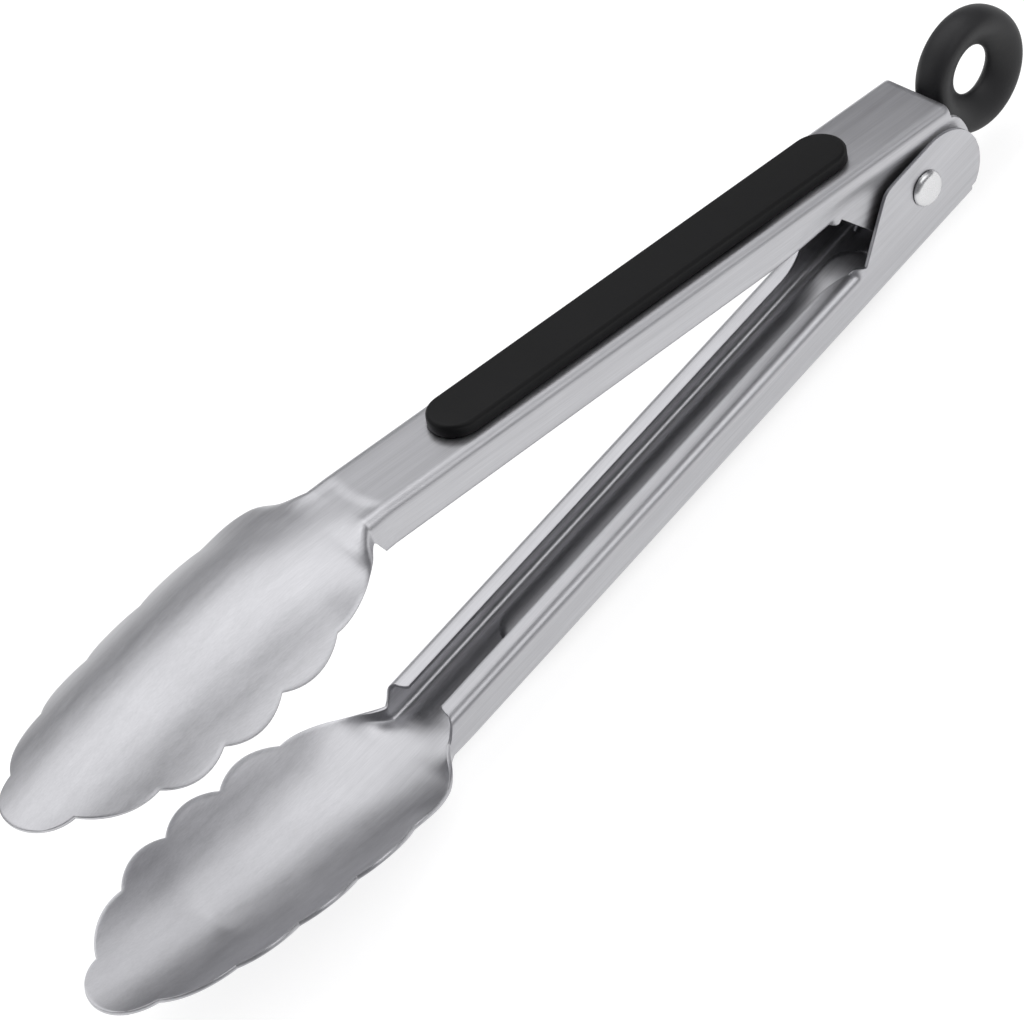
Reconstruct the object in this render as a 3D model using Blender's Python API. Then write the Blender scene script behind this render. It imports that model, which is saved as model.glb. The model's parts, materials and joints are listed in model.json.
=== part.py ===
"""Spring loaded kitchen tongs, lying open on the flat of the lower grip pad.

Frame, in metres: the origin is the middle of the lower pad's flat underside, +X runs along the lower
arm to the pull ring, +Y is the axis of the pivot rivet, +Z points up.
Each arm is drawn in its own frame: x along the arm from the rivet (the head is at negative x),
y across it, and d the depth measured from the outer face of its web towards the other arm.
"""

import math

import bmesh
import bpy
from mathutils import Matrix, Vector

MM = 0.001

# ---- driving dimensions, in millimetres -------------------------------------------------------

SHEET = 0.85              # stainless sheet of both arms
GAP = 0.3                 # clearance between pieces that touch
OPEN_ANGLE = 14.95        # degrees between the two webs with the tongs at rest

LOWER_WIDTH = 18.7        # over the flanges
WIDTH_STEP = 0.7          # the upper arm is narrower by this
LOWER_PIVOT = 12.0        # rivet axis above the outer face of the web
UPPER_PIVOT = 14.0
LOWER_DEPTH = 8.8         # outer face of the web to the outer face of the lips
UPPER_DEPTH = 9.1
LIP = 4.7                 # lip, from the flange's outer face inward
WEB_BEND = 1.3            # outer bend radii
LIP_BEND = 2.0

LOWER_WEB_END = 10.1      # the webs stop here, past the rivet
UPPER_WEB_END = 9.2
EAR_TOP = 7.8             # straight edge of the ears, above the rivet
EAR_RADIUS = 9.9          # round end of the ears
EAR_CENTRE_X = 5.3
EAR_SLOPE = 1.0           # rise per run of the ears' slanted front edge
EAR_FRONT_X = -9.0        # where the slanted edge reaches the straight one
LIP_FADE = 9.0            # length over which the lips run out in front of the ears

HEAD_START = -147.2       # the flanges stop here, and the head flares out
LIP_SHORT = 4.2           # the lips stop this far in front of it
STEP_DEPTH = 4.4          # depth of the rim where the head starts
# Notches of the scalloped edge: distance from HEAD_START, half width.
NOTCHES = ((19.12, 19.36), (34.03, 20.03), (48.3, 19.5), (62.0, 16.9), (75.8, 9.15))
SHOULDER_BULGE = 2.6      # how far the first lobe stands out from the line between its ends
LOBE_BULGE = 2.1          # the same for the other lobes
TIP_REACH = 8.0           # the round tip lobe, past the last notches
BOWL_RADIUS = 34.0        # radius of the bowl, across the head
SHOULDER_FLATTER = 12.0   # added to that radius at the shoulder
SHOULDER_BLEND = 8.0      # the channel's section turns into the bowl's over this length
EVEN_BLEND = 20.0         # the columns spread evenly over this length
RIM_RISE = 3.0            # least rise from the middle of the bowl to its rim
RAMP_START = -5.0         # from HEAD_START: the middle of the head leaves the plane of the web here
RAMP_SLOPE = 0.04
BOWL_START = 18.0         # from HEAD_START: it rises inward more steeply from here
BOWL_SOFT = 4.0           # rounding of that change of slope
BOWL_SLOPE = 0.137
BOWL_CURVE = 0.00105

PAD_TAIL = -13.0          # ends of the grip pads, from the rivet
PAD_SHORT = 24.9          # the pads stop this far in front of the head
PAD_HALF_WIDTH = 5.7
PAD_PROUD = 3.0           # pad face above the web
PAD_EDGE = 0.8            # rounding of its upper edge
POCKET_DEPTH = 1.2        # pressed pocket in the web that takes the pad

SHANK_RADIUS = 1.75       # pivot rivet
RIVET_HEAD_RADIUS = 3.8
RIVET_HEAD_HEIGHT = 1.1
WASHER = 0.5              # thickness of the washers between the ears
WASHER_RADIUS = 3.7
BUSH_WALL = 0.65          # spacer tube around the shank
SPRING_WIRE = 1.1
COIL_CLEAR = 0.5          # play between the coils and the bush
COIL_END = 0.2            # play between the coils and the bush's ends
SPRING_TURNS = 2          # whole turns in each coil
SPRING_LEG_X = -10.0      # the outer legs bear on the lower web here
SPRING_BRIDGE_X = -25.0   # the bridge bears on the upper web here

LOCK_SHEET = 1.2          # lock plate
LOCK_NECK = 4.6           # half height of the plate
LOCK_CATCH = 6.0          # half height over the catches
LOCK_CATCH_LENGTH = 6.0
LOCK_TRAVEL = 6.0         # how far the ring pulls out
LOCK_END_WALL = 2.0       # plate left behind the slot
LOCK_CORNER = 1.5         # cut corners behind the catches
LOCK_SHOULDER = 1.4       # length of the slope in front of them
LOCK_HOLD = 3.4           # how far the plate reaches into the ring

RING_TILT = 8.6           # degrees the ring stands above the lower web
RING_REACH = 26.5         # rivet to the middle of the ring
RING_RADIUS = 13.5
RING_HOLE = 5.3
RING_THICK = 7.0
RING_SWELL = 1.7          # the ring is this much thicker outside, and thinner by the hole
TONGUE_START = 11.4       # the ring's tongue starts here, from the rivet
TONGUE_HALF = 6.4         # half height of the tongue
TONGUE_THICK = 5.4
TONGUE_CORNER = 1.2       # cut corners of the tongue
TONGUE_END = 2.2          # the tongue stops this far short of the hole

# ---- sizes that follow ------------------------------------------------------------------------

UPPER_WIDTH = LOWER_WIDTH - WIDTH_STEP
NECK_HALF = LOWER_WIDTH / 2.0
LIP_END = HEAD_START + LIP_SHORT
PAD_HEAD = HEAD_START + PAD_SHORT
PAD_MIDDLE = (PAD_TAIL + PAD_HEAD) / 2.0
PIVOT = Vector((-PAD_MIDDLE, 0.0, PAD_PROUD + LOWER_PIVOT)) * MM
EAR_GAP = WASHER + 2.0 * GAP
LOWER_EAR_IN = LOWER_WIDTH / 2.0 - SHEET
UPPER_EAR_OUT = LOWER_EAR_IN - EAR_GAP
UPPER_INSET = UPPER_WIDTH / 2.0 - UPPER_EAR_OUT
UPPER_EAR_IN = UPPER_EAR_OUT - SHEET
BORE_RADIUS = SHANK_RADIUS + GAP
BUSH_RADIUS = BORE_RADIUS + BUSH_WALL
BUSH_HALF = UPPER_EAR_IN - GAP
COIL_RADIUS = BUSH_RADIUS + COIL_CLEAR + SPRING_WIRE / 2.0
COIL_INNER_Y = LOCK_SHEET / 2.0 + GAP + SPRING_WIRE / 2.0
COIL_OUTER_Y = BUSH_HALF - COIL_END - SPRING_WIRE / 2.0
PLATE_FRONT = RING_REACH - RING_RADIUS + LOCK_HOLD

# Steps of the drawn shapes.
BEND_STEPS = 3
LOBE_STEPS = 5
TIP_STEPS = 7
EAR_ANGLES = (6.0, 22.0, 38.0, 54.0)
WEB_EDGE = 0.02           # the ears' plates start this far past the end of the web
FADE_START = 0.6          # and the lips this far in front of the ears
LIP_LEAST = 0.3           # share of the lips' height where they start
LIP_RUN = 0.1
EAR_RUN = 14.0            # the ears are pressed in over this length in front of them
TOOL_REACH = 15.0         # cutting solids run this far past what they cut
ROUND_STEPS = 32
COIL_STEPS = 14           # per turn
WIRE_SIDES = 8

STEEL = (0.60, 0.60, 0.62, 1.0)
BRIGHT_STEEL = (0.72, 0.72, 0.74, 1.0)
BLACK_RUBBER = (0.012, 0.012, 0.014, 1.0)
BLACK_PLASTIC = (0.022, 0.021, 0.024, 1.0)


# ---- helpers ----------------------------------------------------------------------------------

def clear_scene():
    for item in list(bpy.data.objects):
        bpy.data.objects.remove(item, do_unlink=True)


def material(name, colour, roughness, metallic):
    mat = bpy.data.materials.new(name)
    mat.use_nodes = True
    shader = mat.node_tree.nodes["Principled BSDF"]
    shader.inputs["Base Color"].default_value = colour
    shader.inputs["Roughness"].default_value = roughness
    shader.inputs["Metallic"].default_value = metallic
    mat.diffuse_color = colour
    return mat


def new_object(name, bm, mat, smooth_angle=40.0):
    """Turns a bmesh drawn in millimetres into an object whose origin is the world's."""
    bmesh.ops.scale(bm, vec=(MM, MM, MM), verts=bm.verts)
    bmesh.ops.recalc_face_normals(bm, faces=bm.faces)
    mesh = bpy.data.meshes.new(name)
    bm.to_mesh(mesh)
    bm.free()
    mesh.materials.append(mat)
    mesh.shade_smooth()
    mesh.set_sharp_from_angle(angle=math.radians(smooth_angle))
    item = bpy.data.objects.new(name, mesh)
    bpy.context.scene.collection.objects.link(item)
    return item


def cutter(name, bm):
    item = new_object(name, bm, bpy.data.materials[0])
    item.hide_render = True
    item.display_type = "WIRE"
    return item


def boolean(item, operation, other):
    step = item.modifiers.new(operation.lower() + "_" + other.name, "BOOLEAN")
    step.operation = operation
    step.solver = "EXACT"
    step.object = other


def place(items, turn):
    """Puts pieces drawn about the rivet axis where they stand."""
    for item in items:
        item.location = PIVOT
        item.rotation_euler = turn


def extrude_outline(points, low, high, axis):
    """Closed prism of a flat outline; axis is the row of a 3-vector that runs from low to high."""
    bm = bmesh.new()
    rings = []
    for level in (low, high):
        ring = []
        for a, b in points:
            corner = [a, b]
            corner.insert(axis, level)
            ring.append(bm.verts.new(corner))
        rings.append(ring)
    count = len(points)
    for i in range(count):
        j = (i + 1) % count
        bm.faces.new((rings[0][i], rings[0][j], rings[1][j], rings[1][i]))
    bm.faces.new(rings[0])
    bm.faces.new(rings[1])
    return bm


def turned(profile, steps=ROUND_STEPS):
    """Closed solid turned about Y from (radius, y) points; a profile off the axis closes on itself."""
    bm = bmesh.new()
    rings = []
    for radius, y in profile:
        if radius == 0.0:
            rings.append([bm.verts.new((0.0, y, 0.0))])
            continue
        ring = []
        for i in range(steps):
            angle = 2.0 * math.pi * i / steps
            ring.append(bm.verts.new((radius * math.cos(angle), y, radius * math.sin(angle))))
        rings.append(ring)
    closed = profile[0][0] != 0.0
    pairs = list(zip(rings, rings[1:]))
    if closed:
        pairs.append((rings[-1], rings[0]))
    for one, two in pairs:
        for i in range(steps):
            j = (i + 1) % steps
            corners = [one[i % len(one)], one[j % len(one)], two[j % len(two)], two[i % len(two)]]
            bm.faces.new(list(dict.fromkeys(corners)))
    return bm


def stadium(start, end, half_width, steps=10):
    """Outline of a slot with round ends, as (x, y) points, from start to end along x."""
    points = []
    for side, centre in ((1.0, end - half_width), (-1.0, start + half_width)):
        for i in range(steps + 1):
            angle = side * math.pi / 2.0 - math.pi * i / steps
            points.append((centre + half_width * math.cos(angle), half_width * math.sin(angle)))
    return points


def smooth_step(value, low, high):
    t = min(1.0, max(0.0, (value - low) / (high - low)))
    return t * t * (3.0 - 2.0 * t)


def soft_ramp(value, blend):
    """Zero below zero and value above it, with the corner rounded."""
    return 0.5 * (value + math.sqrt(value * value + blend * blend))


def mix(one, two, share):
    return one + (two - one) * share


# ---- the arms ---------------------------------------------------------------------------------

WEB_COLUMNS = 3                                   # middle, quarter and edge of the flat web
RIM_COLUMN = WEB_COLUMNS + BEND_STEPS + 1         # column that becomes the rim of the head
FLANGE_COLUMN = RIM_COLUMN + 1
LAST_COLUMN = FLANGE_COLUMN + BEND_STEPS + 1
FIRST_EAR_COLUMN = WEB_COLUMNS + BEND_STEPS - 1


class Arm:
    """The sizes of one arm and the points of its outer face."""

    def __init__(self, width, pivot, depth, web_end, inset):
        self.half = width / 2.0
        self.web_end = web_end
        self.pivot = pivot
        self.depth = depth
        self.inset = inset
        self.ear_centre = pivot + EAR_TOP - EAR_RADIUS
        self.front_low = EAR_FRONT_X - (pivot + EAR_TOP - depth + LIP_BEND) / EAR_SLOPE

    def ear_edge(self, x):
        """Depth of the ears' free edge in front of their round end."""
        return self.pivot + EAR_TOP + EAR_SLOPE * min(0.0, x - EAR_FRONT_X)

    def side(self, x, d):
        """Half width of the flange at depth d: the upper arm's ears are pressed inward."""
        inward = smooth_step(d, WEB_BEND, self.depth * 0.65)
        inward *= smooth_step(x, self.front_low - EAR_RUN + 1.0, self.front_low + 1.0)
        return self.half - self.inset * inward

    def lower_half(self):
        """Points (y, d) from the middle of the web to the free part of the flange."""
        flat = self.half - WEB_BEND
        points = [(flat * i / (WEB_COLUMNS - 1), 0.0) for i in range(WEB_COLUMNS)]
        for i in range(1, BEND_STEPS + 1):
            angle = math.pi / 2.0 * i / BEND_STEPS
            points.append((flat + WEB_BEND * math.sin(angle), WEB_BEND * (1.0 - math.cos(angle))))
        points.append((self.half, (WEB_BEND + STEP_DEPTH) / 2.0))
        points.append((self.half, STEP_DEPTH))
        return points

    def channel_row(self, x, lip):
        """Row of the lipped channel; lip is how much of the lip there is, from 1 to 0."""
        points = self.lower_half()
        corner = self.depth - LIP_BEND
        points.append((self.half, corner))
        for i in range(1, BEND_STEPS + 1):
            angle = math.pi / 2.0 * i / BEND_STEPS
            inward = LIP_BEND * (1.0 - math.cos(angle)) * lip
            points.append((self.half - inward, corner + LIP_BEND * math.sin(angle) * max(lip, LIP_LEAST)))
        points.append((self.half - LIP * lip - LIP_RUN, points[-1][1]))
        return [(x, self.side(x, d) - self.half + y, d) for y, d in points]

    def ear_row(self, x, low, high):
        """Row through the ears, whose plate stands from depth low to depth high."""
        points = self.lower_half()[:FIRST_EAR_COLUMN]
        count = LAST_COLUMN - FIRST_EAR_COLUMN
        for i in range(count + 1):
            points.append((self.half, low + (high - low) * i / count))
        return [(x, self.side(x, d) - self.half + y, d) for y, d in points]

    def leaned(self, y, d):
        """The flanges lean to one width where they stop, and turn into the rim of the head."""
        return y + (NECK_HALF - self.half) * smooth_step(d, 0.0, STEP_DEPTH)

    def cut_row(self):
        """Row along the slanting cut ends of the lips and the flanges."""
        row = []
        for column, (x, y, d) in enumerate(self.channel_row(HEAD_START, 1.0)):
            past = max(0.0, (column - RIM_COLUMN) / (LAST_COLUMN - RIM_COLUMN))
            leaned = mix(self.leaned(y, d), y, past)
            row.append((mix(HEAD_START, LIP_END, past), leaned, d + ramp(0.0) * (1.0 - d / self.depth)))
        return row

    def head_row(self, reach, rim_half, shares):
        """Straight row across the head, from the middle out to the rim."""
        blend = smooth_step(reach, 0.0, SHOULDER_BLEND)
        even = smooth_step(reach, 0.0, EVEN_BLEND)
        widen = rim_half / NECK_HALF
        row = []
        for column, (y, d) in enumerate(self.lower_half()):
            bowl_y = rim_half * mix(shares[column], column / RIM_COLUMN, even)
            here = mix(self.leaned(y, d) * widen, bowl_y, blend)
            depth = mix(d + ramp(reach) * (1.0 - d / self.depth), bowl_depth(reach, bowl_y, rim_half), blend)
            row.append((HEAD_START - reach, here, depth))
        return row


def ramp(reach):
    """Depth of the middle of the head where it slopes away from the web."""
    return RAMP_SLOPE * max(0.0, reach - RAMP_START)


def bowl_depth(reach, y, rim_half):
    past = soft_ramp(reach - BOWL_START, BOWL_SOFT)
    middle = ramp(reach) + BOWL_SLOPE * past + BOWL_CURVE * past * past
    shoulder = NOTCHES[0][0]
    radius = BOWL_RADIUS
    if reach < shoulder:
        radius += SHOULDER_FLATTER * (1.0 - smooth_step(reach, shoulder / 3.0, shoulder))
        radius = min(radius, (rim_half ** 2 + RIM_RISE ** 2) / (2.0 * RIM_RISE))
    return middle + radius - math.sqrt(radius * radius - y * y)


def lobe(start, end, bulge, steps):
    """Points of a round lobe from start to end, without start, as (reach, half width)."""
    chord = Vector(end) - Vector(start)
    out = Vector((-chord.y, chord.x)).normalized()
    radius = (chord.length ** 2 / 4.0 + bulge ** 2) / (2.0 * bulge)
    centre = (Vector(start) + Vector(end)) / 2.0 - out * (radius - bulge)
    first = Vector(start) - centre
    sweep = -4.0 * math.atan2(2.0 * bulge, chord.length)
    return [centre + Matrix.Rotation(sweep * i / steps, 2) @ first for i in range(1, steps + 1)]


def head_outline():
    """Rim of the head from the neck to the tip, as (reach, half width)."""
    rim = lobe((0.0, NECK_HALF), NOTCHES[0], SHOULDER_BULGE, LOBE_STEPS)
    for start, end in zip(NOTCHES, NOTCHES[1:]):
        rim += lobe(start, end, LOBE_BULGE, LOBE_STEPS)
    last, width = NOTCHES[-1]
    return rim + lobe((last, width), (last, -width), TIP_REACH, 2 * TIP_STEPS)[:TIP_STEPS - 1]


def arm_rows(arm):
    """Rows of the outer face, each with the columns it holds, from the ears to the tip."""
    plates = (FIRST_EAR_COLUMN, LAST_COLUMN)
    whole = (0, LAST_COLUMN)
    centre = arm.ear_centre
    rows = []
    for angle in EAR_ANGLES:
        x = EAR_CENTRE_X + EAR_RADIUS * math.cos(math.radians(angle))
        half_height = EAR_RADIUS * math.sin(math.radians(angle))
        rows.append((arm.ear_row(x, centre - half_height, centre + half_height), *plates))
    reach = arm.web_end - EAR_CENTRE_X
    top = centre + math.sqrt(EAR_RADIUS ** 2 - reach ** 2)
    low = max(WEB_BEND, 2.0 * centre - top)
    rows.append((arm.ear_row(arm.web_end + WEB_EDGE, low, top), *plates))
    rows.append((arm.ear_row(arm.web_end, WEB_BEND, top), *whole))
    for x in (EAR_CENTRE_X, EAR_FRONT_X):
        rows.append((arm.ear_row(x, WEB_BEND, arm.pivot + EAR_TOP), *whole))
    front = arm.front_low
    for share in (0.35, 0.7, 1.0):
        x = mix(EAR_FRONT_X, front, share)
        rows.append((arm.ear_row(x, WEB_BEND, arm.ear_edge(x)), *whole))
    for share in (0.25, 0.6, 1.0):
        rows.append((arm.channel_row(front - FADE_START - LIP_FADE * share, share), *whole))
    rows.append((arm.channel_row(front - EAR_RUN, 1.0), *whole))
    rows.append((arm.channel_row(LIP_END + 1.0, 1.0), *whole))
    rows.append((arm.cut_row(), *whole))

    path = arm.lower_half()
    lengths = [0.0]
    for one, two in zip(path, path[1:]):
        lengths.append(lengths[-1] + math.dist(one, two))
    shares = [length / lengths[-1] for length in lengths]
    for point in head_outline():
        rows.append((arm.head_row(point.x, point.y, shares), 0, RIM_COLUMN))
    return rows


def arm_sheet(name, arm, mat):
    """One stamped arm: channel, ears, neck and scalloped head in a single sheet."""
    bm = bmesh.new()
    grid = []
    for points, first, last in arm_rows(arm):
        row = {}
        for column in range(first, last + 1):
            x, y, d = points[column]
            row[column] = bm.verts.new((x, y, d - arm.pivot))
            row[-column] = row[column] if column == 0 else bm.verts.new((x, -y, d - arm.pivot))
        grid.append(row)
    for one, two in zip(grid, grid[1:]):
        for column in range(-LAST_COLUMN, LAST_COLUMN):
            corners = [one.get(column), two.get(column), two.get(column + 1), one.get(column + 1)]
            if all(corners):
                bm.faces.new(corners)
    item = new_object(name, bm, mat)
    sheet = item.modifiers.new("sheet", "SOLIDIFY")
    sheet.thickness = SHEET * MM
    sheet.offset = -1.0
    sheet.use_even_offset = True
    sheet.use_quality_normals = True
    return item


def build_arm(name, arm, turn, mat):
    item = arm_sheet(name, arm, mat)
    if item.data.polygons[0].normal.y * item.data.polygons[0].center.y < 0.0:
        item.data.flip_normals()
    wall = PAD_HALF_WIDTH + GAP
    face = -arm.pivot
    tray = extrude_outline(
        stadium(PAD_HEAD - GAP - SHEET, PAD_TAIL + GAP + SHEET, wall + SHEET),
        face + SHEET / 2.0, face + POCKET_DEPTH + SHEET, 2)
    pocket = extrude_outline(
        stadium(PAD_HEAD - GAP, PAD_TAIL + GAP, wall), face - POCKET_DEPTH, face + POCKET_DEPTH, 2)
    bore = turned(((0.0, -TOOL_REACH), (BORE_RADIUS, -TOOL_REACH), (BORE_RADIUS, TOOL_REACH),
                   (0.0, TOOL_REACH)), 20)
    tools = []
    for label, bm, operation in (("tray", tray, "UNION"), ("pocket", pocket, "DIFFERENCE"),
                                 ("bore", bore, "DIFFERENCE")):
        tool = cutter(name + "_" + label, bm)
        boolean(item, operation, tool)
        tools.append(tool)
    place([item] + tools, turn)
    return item


def build_pad(name, arm, turn, mat):
    """Soft grip pad, seated in the pocket of the web."""
    outline = stadium(PAD_HEAD, PAD_TAIL, PAD_HALF_WIDTH, 12)
    bottom = -arm.pivot + POCKET_DEPTH - GAP
    top = -arm.pivot - PAD_PROUD
    bm = bmesh.new()
    rings = []
    middle = (PAD_HEAD + PAD_TAIL) / 2.0
    levels = [(bottom, 0.0)]
    for i in range(4):
        angle = math.pi / 2.0 * i / 3
        levels.append((top + PAD_EDGE * (1.0 - math.sin(angle)), PAD_EDGE * (1.0 - math.cos(angle))))
    for depth, inset in levels:
        ring = []
        for x, y in outline:
            centre = PAD_TAIL - PAD_HALF_WIDTH if x > middle else PAD_HEAD + PAD_HALF_WIDTH
            scale = 1.0 - inset / PAD_HALF_WIDTH
            ring.append(bm.verts.new((centre + (x - centre) * scale, y * scale, depth)))
        rings.append(ring)
    count = len(outline)
    for one, two in zip(rings, rings[1:]):
        for i in range(count):
            j = (i + 1) % count
            bm.faces.new((one[i], one[j], two[j], two[i]))
    bm.faces.new(rings[0])
    bm.faces.new(rings[-1])
    item = new_object(name, bm, mat)
    place([item], turn)
    return item


# ---- the pivot --------------------------------------------------------------------------------

def build_rivet(mat):
    """Shank with a low domed head formed on each end."""
    seat = LOWER_WIDTH / 2.0 + GAP
    profile = [(0.0, -seat - RIVET_HEAD_HEIGHT)]
    for share in (0.45, 0.75, 0.93):
        fall = 1.0 - math.sqrt(1.0 - share ** 2)
        profile.append((RIVET_HEAD_RADIUS * share, -seat - RIVET_HEAD_HEIGHT * (1.0 - 0.75 * fall)))
    profile += [(RIVET_HEAD_RADIUS, -seat - 0.2), (RIVET_HEAD_RADIUS, -seat), (SHANK_RADIUS, -seat)]
    other = [(radius, -y) for radius, y in reversed(profile)]
    item = new_object("pivot_rivet", turned(profile + other), mat)
    place([item], (0.0, 0.0, 0.0))


def tube(name, inner, outer, low, high, mat):
    profile = ((inner, low), (outer, low), (outer, high), (inner, high))
    item = new_object(name, turned(profile, 24), mat)
    place([item], (0.0, 0.0, 0.0))


def build_spring(mat):
    """Double torsion spring: two coils on the bush, a bridge to the upper web, two legs to the lower."""
    open_turn = math.radians(OPEN_ANGLE)
    wire = SPRING_WIRE / 2.0
    leg = Vector((SPRING_LEG_X, -LOWER_PIVOT + SHEET + GAP + wire))
    under = UPPER_PIVOT - POCKET_DEPTH - SHEET - GAP - wire
    bridge = Vector((
        SPRING_BRIDGE_X * math.cos(open_turn) + under * math.sin(open_turn),
        -SPRING_BRIDGE_X * math.sin(open_turn) + under * math.cos(open_turn)))
    leg_angle = math.atan2(leg.y, leg.x) + math.acos(COIL_RADIUS / leg.length)
    bridge_angle = math.atan2(bridge.y, bridge.x) - math.acos(COIL_RADIUS / bridge.length)
    sweep = (bridge_angle - leg_angle) % (2.0 * math.pi) + 2.0 * math.pi * SPRING_TURNS
    steps = round(COIL_STEPS * sweep / (2.0 * math.pi))
    half = [Vector((leg.x, COIL_OUTER_Y, leg.y))]
    for i in range(steps + 1):
        angle = leg_angle + sweep * i / steps
        y = COIL_OUTER_Y + (COIL_INNER_Y - COIL_OUTER_Y) * i / steps
        half.append(Vector((COIL_RADIUS * math.cos(angle), y, COIL_RADIUS * math.sin(angle))))
    half.append(Vector((bridge.x * 0.96, COIL_INNER_Y, bridge.y * 0.96)))
    half.append(Vector((bridge.x, COIL_INNER_Y * 0.5, bridge.y)))
    path = half + [Vector((p.x, -p.y, p.z)) for p in reversed(half)]
    curve = bpy.data.curves.new("torsion_spring", "CURVE")
    curve.dimensions = "3D"
    curve.bevel_depth = wire * MM
    curve.bevel_resolution = WIRE_SIDES // 4
    curve.use_fill_caps = True
    spline = curve.splines.new("POLY")
    spline.points.add(len(path) - 1)
    for point, place_mm in zip(spline.points, path):
        point.co = (*(place_mm * MM), 1.0)
    curve.materials.append(mat)
    item = bpy.data.objects.new("torsion_spring", curve)
    bpy.context.scene.collection.objects.link(item)
    place([item], (0.0, 0.0, 0.0))


# ---- the lock and the ring --------------------------------------------------------------------

def mirrored(side):
    """Whole outline from its upper half."""
    return list(side) + [(x, -z) for x, z in reversed(side)]


def build_lock(mat):
    """Flat plate that slides on the bush, with two catches near its inner end."""
    slot_half = BUSH_RADIUS + GAP
    back = -LOCK_TRAVEL - slot_half - LOCK_END_WALL
    catch = back + LOCK_CATCH_LENGTH
    side = ((back, LOCK_CATCH - LOCK_CORNER), (back + LOCK_CORNER, LOCK_CATCH), (catch, LOCK_CATCH),
            (catch + LOCK_SHOULDER, LOCK_NECK), (PLATE_FRONT, LOCK_NECK))
    half = LOCK_SHEET / 2.0
    plate = new_object("lock_plate", extrude_outline(mirrored(side), -half, half, 1), mat)
    slot = cutter("lock_slot", extrude_outline(
        stadium(-LOCK_TRAVEL - slot_half, slot_half, slot_half, 8), -LOCK_SHEET, LOCK_SHEET, 1))
    boolean(plate, "DIFFERENCE", slot)
    place([plate, slot], (0.0, -math.radians(RING_TILT), 0.0))


def build_ring(mat):
    """Moulded ring whose tongue grips the end of the lock plate."""
    middle = (RING_RADIUS + RING_HOLE) / 2.0
    width = (RING_RADIUS - RING_HOLE) / 2.0
    profile = []
    for i in range(14):
        angle = 2.0 * math.pi * i / 14
        half = RING_THICK / 2.0 + RING_SWELL * math.cos(angle)
        profile.append((middle + width * math.cos(angle), half * math.sin(angle)))
    bm = turned(profile, 36)
    bmesh.ops.translate(bm, vec=(RING_REACH, 0.0, 0.0), verts=bm.verts)
    ring = new_object("pull_ring", bm, mat, 60.0)
    end = RING_REACH - RING_HOLE - TONGUE_END
    side = ((TONGUE_START, TONGUE_HALF - TONGUE_CORNER), (TONGUE_START + TONGUE_CORNER, TONGUE_HALF),
            (end, TONGUE_HALF))
    tongue = cutter("ring_tongue", extrude_outline(
        mirrored(side), -TONGUE_THICK / 2.0, TONGUE_THICK / 2.0, 1))
    boolean(ring, "UNION", tongue)
    high = LOCK_NECK + GAP
    half = LOCK_SHEET / 2.0 + GAP
    side = ((0.0, high), (PLATE_FRONT + GAP, high))
    pocket = cutter("ring_pocket", extrude_outline(mirrored(side), -half, half, 1))
    boolean(ring, "DIFFERENCE", pocket)
    place([ring, tongue, pocket], (0.0, -math.radians(RING_TILT), 0.0))


# ---- the whole object -------------------------------------------------------------------------

def main():
    clear_scene()
    steel = material("brushed_steel", STEEL, 0.32, 1.0)
    bright = material("bright_steel", BRIGHT_STEEL, 0.2, 1.0)
    rubber = material("black_rubber", BLACK_RUBBER, 0.55, 0.0)
    plastic = material("black_plastic", BLACK_PLASTIC, 0.5, 0.0)

    lower = Arm(LOWER_WIDTH, LOWER_PIVOT, LOWER_DEPTH, LOWER_WEB_END, 0.0)
    upper = Arm(UPPER_WIDTH, UPPER_PIVOT, UPPER_DEPTH, UPPER_WEB_END, UPPER_INSET)
    flipped = (math.pi, math.radians(OPEN_ANGLE), 0.0)
    build_arm("lower_arm", lower, (0.0, 0.0, 0.0), steel)
    build_arm("upper_arm", upper, flipped, steel)
    build_pad("lower_grip_pad", lower, (0.0, 0.0, 0.0), rubber)
    build_pad("upper_grip_pad", upper, flipped, rubber)

    build_rivet(bright)
    tube("spacer_bush", BORE_RADIUS, BUSH_RADIUS, -BUSH_HALF, BUSH_HALF, bright)
    washer_in = UPPER_EAR_OUT + GAP
    tube("pivot_washer_left", BORE_RADIUS, WASHER_RADIUS, -washer_in - WASHER, -washer_in, bright)
    tube("pivot_washer_right", BORE_RADIUS, WASHER_RADIUS, washer_in, washer_in + WASHER, bright)
    build_spring(bright)

    build_lock(steel)
    build_ring(plastic)


main()
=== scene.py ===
"""Looks of the spring loaded kitchen tongs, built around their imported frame.

Sizes are in millimetres until a mesh is finished, and the frame is in metres. Each arm is drawn in its
own frame: x along the arm from the pivot rivet (the head is at negative x), y across it, and d the depth
from the outer face of its web towards the other arm.
"""

import json
import math

import bmesh
import bpy
from mathutils import Matrix, Quaternion, Vector


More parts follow.
